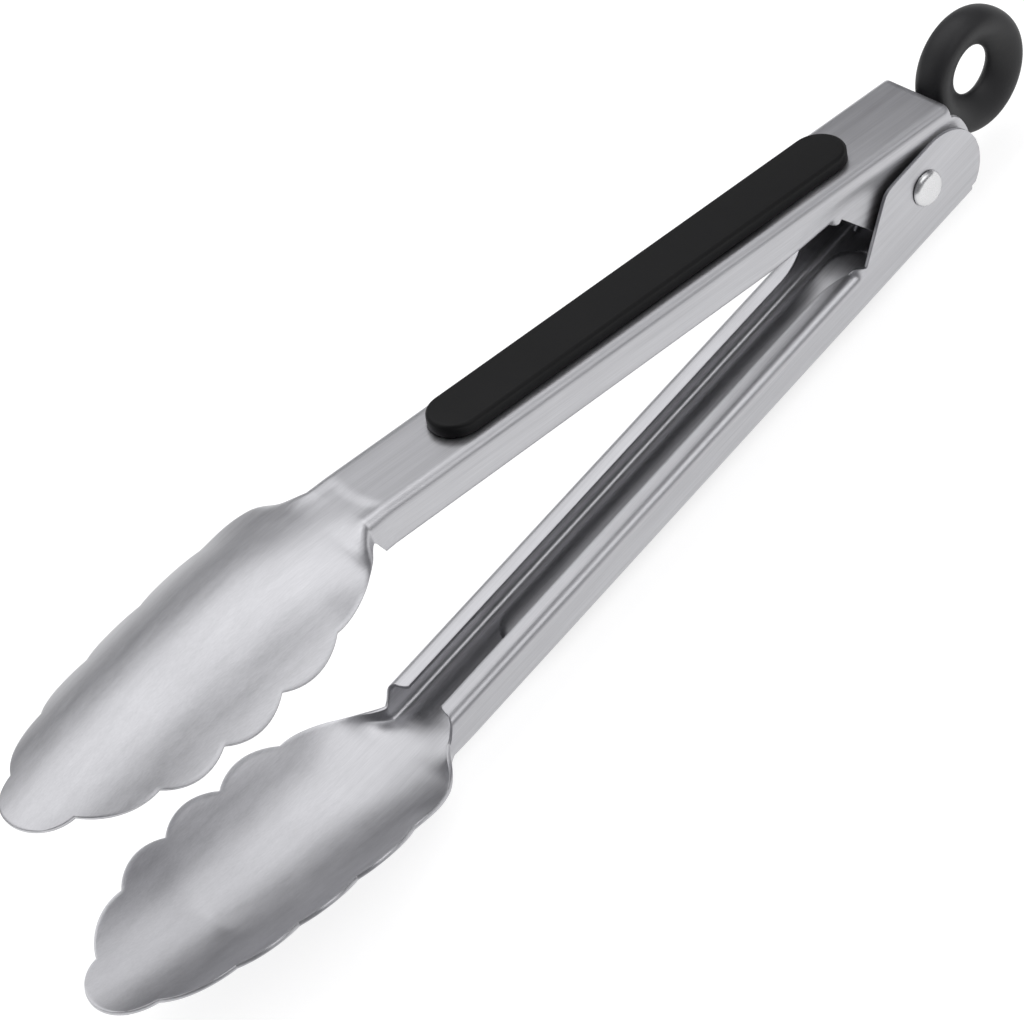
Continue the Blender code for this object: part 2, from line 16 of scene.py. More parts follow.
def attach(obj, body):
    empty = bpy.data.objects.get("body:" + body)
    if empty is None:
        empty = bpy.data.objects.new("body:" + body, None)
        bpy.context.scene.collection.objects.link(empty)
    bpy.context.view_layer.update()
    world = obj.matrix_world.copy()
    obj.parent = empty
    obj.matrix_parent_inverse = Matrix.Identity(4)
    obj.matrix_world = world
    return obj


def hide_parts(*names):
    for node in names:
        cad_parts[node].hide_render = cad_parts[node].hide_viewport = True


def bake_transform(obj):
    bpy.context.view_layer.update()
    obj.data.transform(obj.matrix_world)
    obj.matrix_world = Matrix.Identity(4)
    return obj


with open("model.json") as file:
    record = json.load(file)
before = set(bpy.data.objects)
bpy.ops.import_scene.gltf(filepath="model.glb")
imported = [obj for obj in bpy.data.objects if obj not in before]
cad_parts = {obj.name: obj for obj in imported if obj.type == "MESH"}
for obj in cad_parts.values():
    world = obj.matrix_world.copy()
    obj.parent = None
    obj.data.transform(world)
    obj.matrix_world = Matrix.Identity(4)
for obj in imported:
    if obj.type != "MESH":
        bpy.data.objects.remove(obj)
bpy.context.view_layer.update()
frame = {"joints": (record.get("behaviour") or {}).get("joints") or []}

MM = 0.001
HINGE = next(joint for joint in frame["joints"] if joint["name"] == "arm_hinge")
PIVOT = Vector(HINGE["pos_m"])

# ---- sizes of the pieces, in millimetres ------------------------------------------------------

SHEET = 0.85
GAP = 0.3
OPEN_ANGLE = 14.95

LOWER_WIDTH = 18.7
UPPER_WIDTH = LOWER_WIDTH - 0.7
LOWER_PIVOT = 12.0
UPPER_PIVOT = 14.0
LOWER_DEPTH = 8.8
UPPER_DEPTH = 9.1
LIP = 4.7
WEB_BEND = 2.0
LIP_BEND = 2.0

LOWER_WEB_END = 10.1
UPPER_WEB_END = 9.2
EAR_TOP = 7.8
EAR_RADIUS = 9.9
EAR_CENTRE_X = 5.3
EAR_SLOPE = 1.0
EAR_FRONT_X = -9.0
LIP_FADE = 11.0           # the lip grows to its full width over this length in front of the ears
LIP_FOLD = 3.0            # and folds over within this length
LIP_PLAIN = 0.6           # the first of it stays flat
PRESS_RUN = 20.0          # the upper ears are pressed in over this length in front of them
PRESS_END = 6.0           # and this far into them

HEAD_START = -147.2       # the flanges end here
LIP_END = HEAD_START + 4.2
LIP_NOTCH = 0.9           # the lips' cut ends are this hollow
NECK_START = HEAD_START + 9.2     # rows lean from here to the cut ends
NECK_LEAN = 6.0           # the flanges come to the width of the neck over this length
STEP_DEPTH = 4.4          # depth of the rim where the head starts
NECK_HALF = LOWER_WIDTH / 2.0     # half width of both arms where their flanges end
FILLET = 3.0              # length and width of the round corner between the neck and the shoulder
NOTCHES = ((19.12, 19.36), (34.03, 20.03), (48.3, 19.5), (62.0, 16.9), (75.8, 9.15))
LOBE_BULGE = 2.1          # how far a lobe stands out from the line between its notches
TIP_REACH = 7.85
BOWL_RADIUS = 34.0
SHOULDER_FLATTER = 12.0   # added to the bowl's radius at the shoulder
RIM_RISE = 3.0
RAMP_START = -5.0         # the web ends here, from HEAD_START, and the head starts to slope
RAMP_SLOPE = 0.04
CREASE_BOW = 1.5          # the crease bows towards the tip by this much
CREASE_HALF = 7.0         # within this half width
CREASE_WIDTH = 1.4
CREASE_FADE = 10.0
CREASE_DEPTH = 0.2        # the small step the press leaves there
BOWL_START = 18.0
BOWL_SOFT = 4.0
BOWL_BLEND = 6.5          # the channel turns into the bowl over this length
EVEN_BLEND = 20.0         # and the columns spread evenly over this one
BOWL_SLOPE = 0.137
BOWL_CURVE = 0.00105

PAD_TAIL = -13.0
PAD_HEAD = HEAD_START + 24.9
PAD_HALF_WIDTH = 5.7
PAD_PROUD = 3.0
PAD_EDGE = 0.8
PAD_CROWN = 0.12          # the top of the pad is this much higher along its middle
PAD_LEDGE = 1.2           # the pad stands over the edge of its pocket by this much
POCKET_DEPTH = 1.2
POCKET_INSET = 0.45       # the pocket is this much smaller than the pad, all round
POCKET_WALL = 0.6         # width of the pocket's sloping wall

SHANK_RADIUS = 1.75
RIVET_HEAD_RADIUS = 3.8
RIVET_HEAD_HEIGHT = 1.1
WASHER = 0.5
WASHER_RADIUS = 3.7
BUSH_WALL = 0.65
SPRING_WIRE = 1.1
SPRING_TURNS = 2
COIL_CLEAR = 0.5          # play between the coils and the bush
COIL_END = 0.2            # and between the coils and its ends
SPRING_LEG_X = -10.0
SPRING_BRIDGE_X = -25.0

LOCK_SHEET = 1.2
LOCK_NECK = 4.6
LOCK_CATCH = 6.0
LOCK_CATCH_LENGTH = 6.0
LOCK_TRAVEL = 6.0
LOCK_END_WALL = 2.0
LOCK_CORNER = 1.5
LOCK_SHOULDER = 1.4
LOCK_HOLD = 3.4           # how far the plate reaches into the ring

RING_TILT = 8.6
RING_REACH = 26.5
RING_RADIUS = 13.5
RING_HOLE = 5.3
RING_SHY = 0.1            # the moulded surface stays this far inside the outline
RING_THICK = 7.0
RING_SWELL = 1.7          # the ring is this much thicker outside, and thinner by the hole
TONGUE_START = 11.4
TONGUE_HALF = 6.4
TONGUE_THICK = 5.4
TONGUE_CORNER = 1.2
TONGUE_END = 2.2          # the tongue stops this far short of the hole

LOWER_EAR_IN = LOWER_WIDTH / 2.0 - SHEET
UPPER_EAR_OUT = LOWER_EAR_IN - WASHER - 2.0 * GAP
UPPER_INSET = UPPER_WIDTH / 2.0 - UPPER_EAR_OUT
BORE_RADIUS = SHANK_RADIUS + GAP
BUSH_RADIUS = BORE_RADIUS + BUSH_WALL
BUSH_HALF = UPPER_EAR_OUT - SHEET - GAP
COIL_RADIUS = BUSH_RADIUS + COIL_CLEAR + SPRING_WIRE / 2.0

# The view: where the camera looks, from where, and how it is held.
AIM = Vector((-0.04043, 0.00031, 0.030))
VIEW_SHIFT = (0.0013, -0.0012)     # share of the frame that the picture is moved left and up
VIEW_AZIMUTH = 24.82
VIEW_ELEVATION = 46.20
VIEW_DISTANCE = 0.98397
VIEW_ROLL = -28.73
LENS = 182.2


# ---- small helpers ----------------------------------------------------------------------------

def smooth_step(value, low, high):
    t = min(1.0, max(0.0, (value - low) / (high - low)))
    return t * t * (3.0 - 2.0 * t)


def soft_ramp(value, blend):
    """Zero below zero and value above it, with the corner rounded over the length blend."""
    return 0.5 * (value + math.sqrt(value * value + blend * blend))


def mix(one, two, share):
    return one + (two - one) * share


def spaced(*spans):
    """Places from each span's start towards its end, at about its step; the last end is included."""
    places = []
    for start, end, step in spans:
        count = max(1, round(abs(end - start) / step))
        places += [mix(start, end, i / count) for i in range(count)]
    return places + [spans[-1][1]]


def mesh_object(name, bm):
    mesh = bpy.data.meshes.new(name)
    bm.to_mesh(mesh)
    bm.free()
    item = bpy.data.objects.new(name, mesh)
    bpy.context.scene.collection.objects.link(item)
    return item


def applied(item, name):
    """The object's evaluated mesh as a new plain object; the old one is removed."""
    graph = bpy.context.evaluated_depsgraph_get()
    mesh = bpy.data.meshes.new_from_object(item.evaluated_get(graph), depsgraph=graph)
    bpy.data.objects.remove(item, do_unlink=True)
    mesh.name = name
    fresh = bpy.data.objects.new(name, mesh)
    bpy.context.scene.collection.objects.link(fresh)
    return fresh


def add_modifier(item, kind, **settings):
    step = item.modifiers.new(kind.lower(), kind)
    for key, value in settings.items():
        setattr(step, key, value)
    return step


def cut(item, operation, tool):
    """Applies a Boolean with a tool, which is used up."""
    name = item.name
    add_modifier(item, "BOOLEAN", operation=operation, solver="EXACT", object=tool)
    fresh = applied(item, name)
    bpy.data.objects.remove(tool, do_unlink=True)
    return fresh


def seat(item, turn, mat, sharp=40.0):
    """Finishes a piece drawn in millimetres about the rivet axis: turns it and puts it in the frame."""
    place = Matrix.Translation(PIVOT) @ turn.to_matrix().to_4x4() @ Matrix.Scale(MM, 4)
    item.data.transform(place)
    item.data.materials.clear()
    item.data.materials.append(mat)
    item.data.polygons.foreach_set("material_index", [0] * len(item.data.polygons))
    item.data.shade_smooth()
    item.data.set_sharp_from_angle(angle=math.radians(sharp))
    return item


# ---- the sheet arms ---------------------------------------------------------------------------

WEB_COLUMNS = (0.0, 0.8, 1.6, 2.4, 3.2, 4.0, 4.5, 4.7, 4.9, 5.1, 5.4, 5.9, 6.4)
BEND_STEPS = 6
WALL_STEPS = 3
LIP_STEPS = 3
BEND_COLUMN = len(WEB_COLUMNS)                    # first column of the bend, at the end of the flat
WALL_COLUMN = BEND_COLUMN + BEND_STEPS            # first column of the flange
RIM_COLUMN = WALL_COLUMN + WALL_STEPS             # becomes the rim of the head


class Arm:
    """The sizes of one arm, and the points of its outer face."""

    def __init__(self, width, pivot, depth, web_end, inset):
        self.half = width / 2.0
        self.web_end = web_end
        self.pivot = pivot
        self.depth = depth
        self.inset = inset
        self.ear_centre = pivot + EAR_TOP - EAR_RADIUS
        self.wall = depth - LIP_BEND - WEB_BEND
        self.front_low = EAR_FRONT_X - (pivot + EAR_TOP - depth) / EAR_SLOPE
        self.lip_arc = LIP_BEND * math.pi / 2.0
        self.full = self.wall + self.lip_arc + LIP - LIP_BEND
        step = STEP_DEPTH - WEB_BEND
        lengths = spaced((0.0, step, step / WALL_STEPS), (step, self.wall, (self.wall - step) / WALL_STEPS),
                         (self.wall, self.wall + self.lip_arc, self.lip_arc / BEND_STEPS),
                         (self.wall + self.lip_arc, self.full, (LIP - LIP_BEND) / LIP_STEPS))
        self.shares = [length / self.full for length in lengths]
        self.last = WALL_COLUMN + len(lengths) - 1

    def ear_edge(self, x):
        """Depth of the free edge of the ears."""
        if x > EAR_CENTRE_X:
            return self.ear_centre + math.sqrt(max(0.0, EAR_RADIUS ** 2 - (x - EAR_CENTRE_X) ** 2))
        return self.pivot + EAR_TOP - EAR_SLOPE * soft_ramp(EAR_FRONT_X - x, 0.8)

    def free_length(self, x):
        """Length of the sheet past the web's bend."""
        if x > self.front_low:
            return self.ear_edge(x) - WEB_BEND
        grown = min(1.0, (self.front_low - x) / LIP_FADE)
        return mix(self.depth - WEB_BEND, self.full, 1.0 - (1.0 - grown) ** 2)

    def wall_point(self, x, length):
        """(y, d) at a length along the sheet from the end of the web's bend."""
        past = length - self.wall
        fold = smooth_step(self.front_low - x, LIP_PLAIN, LIP_FOLD) * math.pi / 2.0
        if fold == 0.0 or past <= 0.0:
            return self.half, WEB_BEND + length
        radius = self.lip_arc / fold
        angle = min(fold, past / radius)
        flat = max(0.0, past - self.lip_arc)
        y = self.half - radius * (1.0 - math.cos(angle)) - flat * math.sin(fold)
        return y, self.depth - LIP_BEND + radius * math.sin(angle) + flat * math.cos(fold)

    def inward(self, x, d):
        """The upper arm's ears are pressed in to pass between the lower ones."""
        across = smooth_step(d, WEB_BEND, self.depth * 0.8)
        return self.inset * across * smooth_step(x, self.front_low - PRESS_RUN, self.front_low + PRESS_END)

    def pocket(self, x, y):
        """How far the web is pressed in to seat the grip pad."""
        radius = PAD_HALF_WIDTH - POCKET_INSET
        nearest = min(PAD_TAIL - POCKET_INSET - radius, max(PAD_HEAD + POCKET_INSET + radius, x))
        gap = radius - math.hypot(x - nearest, y)
        return POCKET_DEPTH * smooth_step(gap, 0.0, POCKET_WALL)

    def web_points(self, x):
        flat = self.half - WEB_BEND
        points = [(y, self.pocket(x, y)) for y in WEB_COLUMNS]
        for i in range(BEND_STEPS):
            angle = math.pi / 2.0 * i / BEND_STEPS
            points.append((flat + WEB_BEND * math.sin(angle), WEB_BEND * (1.0 - math.cos(angle))))
        return points

    def channel_row(self, x):
        """Row across the channel or the ears, from the middle of the web to the free edge."""
        points = self.web_points(x)
        length = self.free_length(x)
        points += [self.wall_point(x, share * length) for share in self.shares]
        return [(x, y - self.inward(x, d), d) for y, d in points]

    def ear_row(self, x, low):
        """Row across the round end of the ears, past the web."""
        high = self.ear_edge(x)
        row = [None] * WALL_COLUMN
        for share in self.shares:
            d = mix(low, high, share)
            row.append((x, self.half - self.inward(x, d), d))
        return row

    def neck_row(self, start, share):
        """Row that leans from x = start, at share 0, to the cut ends of the lips and flanges, at share 1."""
        row = []
        points = self.web_points(start)
        points += [self.wall_point(start, part * self.full) for part in self.shares]
        for column, (y, d) in enumerate(points):
            x = mix(start, self.cut_end(column), share)
            lean = (NECK_HALF - self.half) * smooth_step(-x, -HEAD_START - NECK_LEAN, -HEAD_START)
            lean *= smooth_step(d, 0.0, STEP_DEPTH)
            row.append((x, y + lean, d + ramp(HEAD_START - x, y) * (1.0 - d / self.depth)))
        return row

    def cut_end(self, column):
        """Where the sheet is cut at the neck: square over the lip, then down to the rim of the head."""
        if column <= RIM_COLUMN:
            return HEAD_START
        length = self.shares[column - WALL_COLUMN] * self.full
        lip_start = self.wall + self.lip_arc
        if length < lip_start:
            along = (length - self.shares[WALL_STEPS] * self.full) / (lip_start - STEP_DEPTH + WEB_BEND)
            return mix(HEAD_START, LIP_END - LIP_NOTCH, along ** 0.8)
        along = (length - lip_start) / (self.full - lip_start)
        return LIP_END - LIP_NOTCH + LIP_NOTCH * along ** 2

    def head_row(self, reach, shares, rim_half):
        """Straight row across the head at a distance from HEAD_START."""
        flat = self.web_points(HEAD_START)
        flat += [self.wall_point(HEAD_START, part * self.full) for part in self.shares[:WALL_STEPS + 1]]
        blend = smooth_step(reach, -0.5, BOWL_BLEND)
        even = smooth_step(reach, 0.0, EVEN_BLEND)
        row = []
        for column, (y, d) in enumerate(flat):
            lean = (NECK_HALF - self.half) * smooth_step(d, 0.0, STEP_DEPTH)
            y_flat = (y + lean) * rim_half / NECK_HALF
            share = mix(shares[column], column / RIM_COLUMN, even)
            y_bowl = rim_half * share
            y_here = mix(y_flat, y_bowl, blend)
            d_flat = d + ramp(reach, y_here) * (1.0 - d / self.depth)
            row.append((HEAD_START - reach, y_here, mix(d_flat, bowl_depth(reach, y_bowl, rim_half), blend)))
        return row


def ramp(reach, y):
    """The head slopes away from the web behind a crease that bows towards the tip."""
    bow = max(0.0, 1.0 - (y / CREASE_HALF) ** 2)
    past = reach - RAMP_START - CREASE_BOW * bow
    step = CREASE_DEPTH * smooth_step(past, -CREASE_WIDTH, CREASE_WIDTH)
    step *= math.exp(-max(0.0, past) / CREASE_FADE)
    return RAMP_SLOPE * soft_ramp(past, 0.5) + step * min(1.0, 2.0 * bow)


def bowl_depth(reach, y, rim_half):
    past = soft_ramp(reach - BOWL_START, BOWL_SOFT)
    middle = ramp(reach, y) + BOWL_SLOPE * past + BOWL_CURVE * past * past
    radius = BOWL_RADIUS + SHOULDER_FLATTER * (1.0 - smooth_step(reach, 6.0, NOTCHES[0][0]))
    radius = min(radius, (rim_half ** 2 + RIM_RISE ** 2) / (2.0 * RIM_RISE))
    if reach > NOTCHES[0][0]:
        radius = BOWL_RADIUS
    return middle + radius - math.sqrt(radius * radius - y * y)


def lobe(start, end, bulge, steps):
    """Points of a round lobe from start to end, without start, as (reach, half width)."""
    chord = Vector(end) - Vector(start)
    out = Vector((-chord.y, chord.x)).normalized()
    radius = (chord.length ** 2 / 4.0 + bulge ** 2) / (2.0 * bulge)
    centre = (Vector(start) + Vector(end)) / 2.0 - out * (radius - bulge)
    first = Vector(start) - centre
    sweep = -4.0 * math.atan2(2.0 * bulge, chord.length)
    return [centre + Matrix.Rotation(sweep * i / steps, 2) @ first for i in range(1, steps + 1)]


def head_rim():
    """Rim of the head from the neck to the last notch, as (reach, half width)."""
    start = Vector((0.0, NECK_HALF))
    shoulder = start + Vector((FILLET, FILLET))
    bend = start + Vector((FILLET * 0.2, 0.0))
    rim = []
    for i in range(1, 9):
        t = i / 8.0
        rim.append(start.lerp(bend, t).lerp(bend.lerp(shoulder, t), t))
    for one, two in zip([shoulder] + list(NOTCHES), NOTCHES):
        rim += lobe(one, two, LOBE_BULGE, 14)
    return rim


def arm_rows(arm):
    """Rows of the outer face from the ears to the tip; a row's list index is its column."""
    rows = []
    steep = math.degrees(math.acos((arm.web_end + 0.4 - EAR_CENTRE_X) / EAR_RADIUS))
    for angle in spaced((4.0, steep, 6.0)):
        x = EAR_CENTRE_X + EAR_RADIUS * math.cos(math.radians(angle))
        low = arm.ear_centre - EAR_RADIUS * math.sin(math.radians(angle))
        rows.append(arm.ear_row(x, max(WEB_BEND, low)))
    front = arm.front_low
    for x in spaced((arm.web_end, PAD_TAIL, 1.2), (PAD_TAIL, front, 0.4), (front, front - LIP_FOLD, 0.3),
                    (front - LIP_FOLD, front - LIP_FADE, 0.8), (front - LIP_FADE, -44.0, 1.5),
                    (-44.0, PAD_HEAD + 8.0, 4.0), (PAD_HEAD + 8.0, PAD_HEAD, 0.3), (PAD_HEAD, NECK_START, 2.0)):
        rows.append(arm.channel_row(x))
    for i in range(1, 17):
        rows.append(arm.neck_row(NECK_START, i / 16.0))

    path = [(y, d) for _, y, d in rows[-1][:RIM_COLUMN + 1]]
    lengths = [0.0]
    for one, two in zip(path, path[1:]):
        lengths.append(lengths[-1] + math.dist(one, two))
    shares = [length / lengths[-1] for length in lengths]
    for point in head_rim():
        rows.append(arm.head_row(point.x, shares, point.y))
    return rows + tip_rows()


def tip_rows():
    """The tip lobe: the rows curve until the last one is the rim itself."""
    reach, half = NOTCHES[-1]
    rim = [Vector((reach, half))] + lobe((reach, half), (reach, -half), TIP_REACH, 48)
    side = 12
    steps = 12
    rows = []
    for i in range(1, steps + 1):
        share_on = i / steps
        corner = rim[side * i // steps]
        row = []
        for column in range(RIM_COLUMN + 1):
            share = column / RIM_COLUMN
            start = Vector((reach, half * share))
            place = 24 - (24 - side) * share
            low = int(place)
            end = rim[low].lerp(rim[min(low + 1, 48)], place - low)
            spot = start.lerp(end, share_on)
            spot += (corner - Vector((reach, half)).lerp(rim[side], share_on)) * share ** 2
            row.append((HEAD_START - spot.x, spot.y, bowl_depth(spot.x, spot.y, half)))
        rows.append(row)
    return rows


def arm_sheet(name, arm, turn, mat):
    """One stamped arm: ears, lipped channel, neck and scalloped head in a single sheet."""
    bm = bmesh.new()
    grid = []
    for points in arm_rows(arm):
        row = {}
        for column, point in enumerate(points):
            if point is None:
                continue
            x, y, d = point
            row[column] = bm.verts.new((x, y, d - arm.pivot))
            row[-column] = row[column] if column == 0 else bm.verts.new((x, -y, d - arm.pivot))
        grid.append(row)
    for one, two in zip(grid, grid[1:]):
        for column in range(-arm.last, arm.last):
            corners = [one.get(column), one.get(column + 1), two.get(column + 1), two.get(column)]
            if all(corners):
                bm.faces.new(corners)
    bmesh.ops.remove_doubles(bm, verts=bm.verts, dist=1e-4)
    bm.normal_update()
    web = min(bm.faces, key=lambda face: (face.calc_center_median() - Vector((-130, 0, -arm.pivot))).length)
    if web.normal.z > 0.0:
        bmesh.ops.reverse_faces(bm, faces=bm.faces)
    item = mesh_object(name, bm)
    add_modifier(item, "SOLIDIFY", thickness=SHEET, offset=-1.0, use_even_offset=True, use_quality_normals=True)
    add_modifier(item, "BEVEL", width=0.16, segments=2, limit_method="ANGLE", angle_limit=math.radians(50.0),
                 use_clamp_overlap=False, miter_outer="MITER_ARC")
    item = applied(item, name)
    bore = lathe("bore", ((0.0, -15.0), (BORE_RADIUS, -15.0), (BORE_RADIUS, 15.0), (0.0, 15.0)), 48)
    item = cut(item, "DIFFERENCE", bore)
    return seat(item, turn, mat)


# ---- grip pads --------------------------------------------------------------------------------

def grip_pad(name, arm, turn, mat):
    """Soft pad: a stem in the pocket, and a cushion with a rounded edge and a slightly crowned top."""
    web = -arm.pivot
    top = web - PAD_PROUD
    stem = PAD_LEDGE + 0.1
    levels = [(web + POCKET_DEPTH - GAP / 2.0, stem), (web + 0.2, stem), (web - 0.1, PAD_LEDGE),
              (web - 0.1, 0.2), (web - 0.16, 0.06), (web - 0.3, 0.0)]
    for i in range(9):
        angle = math.pi / 2.0 * i / 8
        levels.append((top + PAD_EDGE * (1.0 - math.sin(angle)) + PAD_CROWN, PAD_EDGE * (1.0 - math.cos(angle))))
    for share in (0.15, 0.35, 0.6, 0.85):
        crown = PAD_CROWN * (1.0 - (1.0 - share) ** 2)
        levels.append((top + PAD_CROWN - crown, mix(PAD_EDGE, PAD_HALF_WIDTH, share)))
    bm = bmesh.new()
    rings = []
    for level, inset in levels:
        ring = []
        for side, centre in ((1.0, PAD_HEAD + PAD_HALF_WIDTH), (-1.0, PAD_TAIL - PAD_HALF_WIDTH)):
            for i in range(33):
                angle = side * math.pi / 2.0 + math.pi * i / 32
                radius = PAD_HALF_WIDTH - inset
                ring.append(bm.verts.new((centre + radius * math.cos(angle), radius * math.sin(angle), level)))
        rings.append(ring)
    for one, two in zip(rings, rings[1:]):
        for i in range(len(one)):
            j = (i + 1) % len(one)
            bm.faces.new((one[i], one[j], two[j], two[i]))
    bm.faces.new(rings[0])
    for i in range(32):
        ring = rings[-1]
        bm.faces.new((ring[i], ring[i + 1], ring[64 - i], ring[65 - i]))
    bmesh.ops.recalc_face_normals(bm, faces=bm.faces)
    return seat(mesh_object(name, bm), turn, mat, 50.0)


# ---- turned pieces on the pivot ---------------------------------------------------------------

def lathe(name, profile, steps=64):
    """Closed solid turned about Y from (radius, y) points; a profile off the axis closes on itself."""
    bm = bmesh.new()
    rings = []
    for radius, y in profile:
        count = 1 if radius == 0.0 else steps
        ring = []
        for i in range(count):
            angle = 2.0 * math.pi * i / steps
            ring.append(bm.verts.new((radius * math.cos(angle), y, radius * math.sin(angle))))
        rings.append(ring)
    pairs = list(zip(rings, rings[1:]))
    if profile[0][0] != 0.0:
        pairs.append((rings[-1], rings[0]))
    for one, two in pairs:
        for i in range(steps):
            j = (i + 1) % steps
            corners = (one[i % len(one)], one[j % len(one)], two[j % len(two)], two[i % len(two)])
            bm.faces.new(list(dict.fromkeys(corners)))
    bmesh.ops.recalc_face_normals(bm, faces=bm.faces)
    return mesh_object(name, bm)


def rivet(name, turn, mat):
    """Shank with a low head formed on each end: a flattened crown and a rolled edge."""
    seat_y = LOWER_WIDTH / 2.0 + GAP
    crown = [(0.0, 1.0), (1.4, 0.995), (2.3, 0.96), (2.75, 0.9), (3.1, 0.78), (3.4, 0.58), (3.62, 0.36),
             (3.76, 0.14), (RIVET_HEAD_RADIUS, 0.0)]
    far = [(radius, -seat_y - share * RIVET_HEAD_HEIGHT) for radius, share in crown]
    far += [(RIVET_HEAD_RADIUS, -seat_y + 0.12), (SHANK_RADIUS, -seat_y + 0.12)]
    near = [(radius, -y) for radius, y in reversed(far)]
    return seat(lathe(name, far + near), turn, mat)


def rounded_tube(name, inner, outer, low, high, turn, mat):
    """Turned tube or washer with broken edges."""
    edge = min(0.12, (outer - inner) / 4.0)
    profile = ((inner, low + edge), (inner + edge, low), (outer - edge, low), (outer, low + edge),
               (outer, high - edge), (outer - edge, high), (inner + edge, high), (inner, high - edge))
    return seat(lathe(name, profile, 48), turn, mat)


# ---- pieces that follow a path ----------------------------------------------------------------

def sweep_tree():
    """Geometry nodes that run an oval section along a curve."""
    tree = bpy.data.node_groups.new("oval_sweep", "GeometryNodeTree")
    face = tree.interface
    face.new_socket("Path", in_out="INPUT", socket_type="NodeSocketGeometry")
    for label in ("Half width", "Half height", "Swell"):
        face.new_socket(label, in_out="INPUT", socket_type="NodeSocketFloat")
    face.new_socket("Sides", in_out="INPUT", socket_type="NodeSocketInt")
    face.new_socket("Material", in_out="INPUT", socket_type="NodeSocketMaterial")
    face.new_socket("Mesh", in_out="OUTPUT", socket_type="NodeSocketGeometry")
    given = add(tree, "NodeGroupInput").outputs
    ring = add(tree, "GeometryNodeCurvePrimitiveCircle", {"Resolution": given["Sides"], "Radius": 1.0})
    spot = add(tree, "GeometryNodeInputPosition").outputs[0]
    unit = add(tree, "ShaderNodeSeparateXYZ", {"Vector": spot}).outputs
    wide = add(tree, "ShaderNodeMath", {0: unit["X"], 1: given["Half width"]}, operation="MULTIPLY").outputs[0]
    grown = add(tree, "ShaderNodeMath", {0: unit["X"], 1: given["Swell"], 2: given["Half height"]},
                operation="MULTIPLY_ADD").outputs[0]
    tall = add(tree, "ShaderNodeMath", {0: unit["Y"], 1: grown}, operation="MULTIPLY").outputs[0]
    place = add(tree, "ShaderNodeCombineXYZ", {"X": wide, "Y": tall}).outputs[0]
    oval = add(tree, "GeometryNodeSetPosition", {"Geometry": ring.outputs["Curve"], "Position": place})
    swept = add(tree, "GeometryNodeCurveToMesh", {
        "Curve": given["Path"], "Profile Curve": oval.outputs[0], "Fill Caps": True})
    real = add(tree, "GeometryNodeRealizeInstances", {"Geometry": swept.outputs[0]})
    done = add(tree, "GeometryNodeSetMaterial", {"Geometry": real.outputs[0], "Material": given["Material"]})
    add(tree, "NodeGroupOutput", {"Mesh": done.outputs[0]})
    return tree


def swept(name, tree, path, closed, half_width, half_height, swell, sides, mat):
    """A solid along a path of points, made by the sweep tree; swell makes one side of an oval thicker."""
    curve = bpy.data.curves.new(name, "CURVE")
    curve.dimensions = "3D"
    curve.twist_mode = "Z_UP" if closed else "MINIMUM"
    spline = curve.splines.new("POLY")
    spline.points.add(len(path) - 1)
    spline.use_cyclic_u = closed
    for point, place in zip(spline.points, path):
        point.co = (*place, 1.0)
    item = bpy.data.objects.new(name + "_path", curve)
    bpy.context.scene.collection.objects.link(item)
    step = item.modifiers.new("sweep", "NODES")
    step.node_group = tree
    sockets = {item.name: item.identifier for item in tree.interface.items_tree if item.in_out == "INPUT"}
    for label, value in (("Half width", half_width), ("Half height", half_height), ("Swell", swell),
                         ("Sides", sides), ("Material", mat)):
        step[sockets[label]] = value
    return applied(item, name)


def torsion_spring(name, tree, mat):
    """Two coils on the bush, joined by a bridge under the upper web; each outer end is a leg on the lower."""
    open_turn = math.radians(OPEN_ANGLE)
    wire = SPRING_WIRE / 2.0
    inner_y = LOCK_SHEET / 2.0 + GAP + wire
    outer_y = BUSH_HALF - COIL_END - wire
    leg = Vector((SPRING_LEG_X, -LOWER_PIVOT + SHEET + GAP + wire))
    under = UPPER_PIVOT - POCKET_DEPTH - SHEET - GAP - wire
    bridge = Vector((
        SPRING_BRIDGE_X * math.cos(open_turn) + under * math.sin(open_turn),
        -SPRING_BRIDGE_X * math.sin(open_turn) + under * math.cos(open_turn)))
    leg_angle = math.atan2(leg.y, leg.x) + math.acos(COIL_RADIUS / leg.length)
    bridge_angle = math.atan2(bridge.y, bridge.x) - math.acos(COIL_RADIUS / bridge.length)
    sweep = (bridge_angle - leg_angle) % (2.0 * math.pi) + 2.0 * math.pi * SPRING_TURNS
    steps = round(48 * sweep / (2.0 * math.pi))
    half = [Vector((leg.x, outer_y, leg.y))]
    for i in range(steps + 1):
        angle = leg_angle + sweep * i / steps
        half.append(Vector((COIL_RADIUS * math.cos(angle), mix(outer_y, inner_y, i / steps),
                            COIL_RADIUS * math.sin(angle))))
    for i in range(7):
        turn = math.pi / 2.0 * i / 6
        back = inner_y * (1.0 - math.sin(turn)) / bridge.length
        half.append(Vector((bridge.x * (1.0 - back), inner_y * math.cos(turn) * 0.98, bridge.y * (1.0 - back))))
    path = half + [Vector((p.x, -p.y, p.z)) for p in reversed(half[:-1])]
    item = swept(name, tree, path, False, wire, wire, 0.0, 16, mat)
    return seat(item, Quaternion(), mat)


